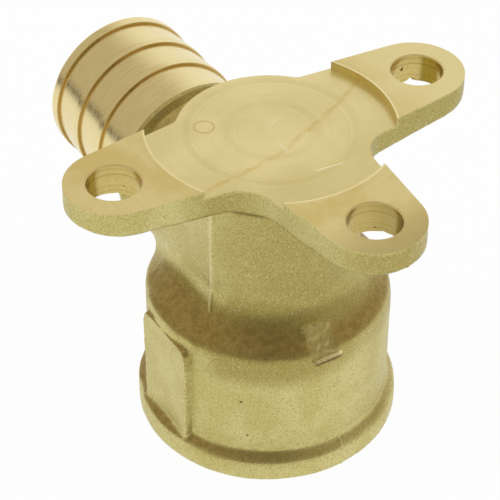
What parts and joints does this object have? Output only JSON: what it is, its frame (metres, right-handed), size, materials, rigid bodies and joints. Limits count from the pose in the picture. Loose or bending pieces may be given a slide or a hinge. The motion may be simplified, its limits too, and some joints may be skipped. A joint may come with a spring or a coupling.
{
  "type": "wall plate elbow",
  "caption": "Cast brass elbow: a threaded socket and a barbed tail for plastic pipe meet at a right angle in a neck that carries a plate of screw ears for fixing to a wall.",
  "frame": {"origin": "centre of the socket's open mouth, on the plane of the rim's end face", "axes": "+Z along the socket's axis, from the mouth to the wall plate; +Y along the barbed tail, away from the neck; X across the two side ears"},
  "size_m": [0.055, 0.0657, 0.0438],
  "materials": {
    "brass": "shot-blasted casting with a turned tail and a faced plate"
  },
  "bodies": {
    "root": {"elbow_body": "brass"}
  },
  "joints": []
}
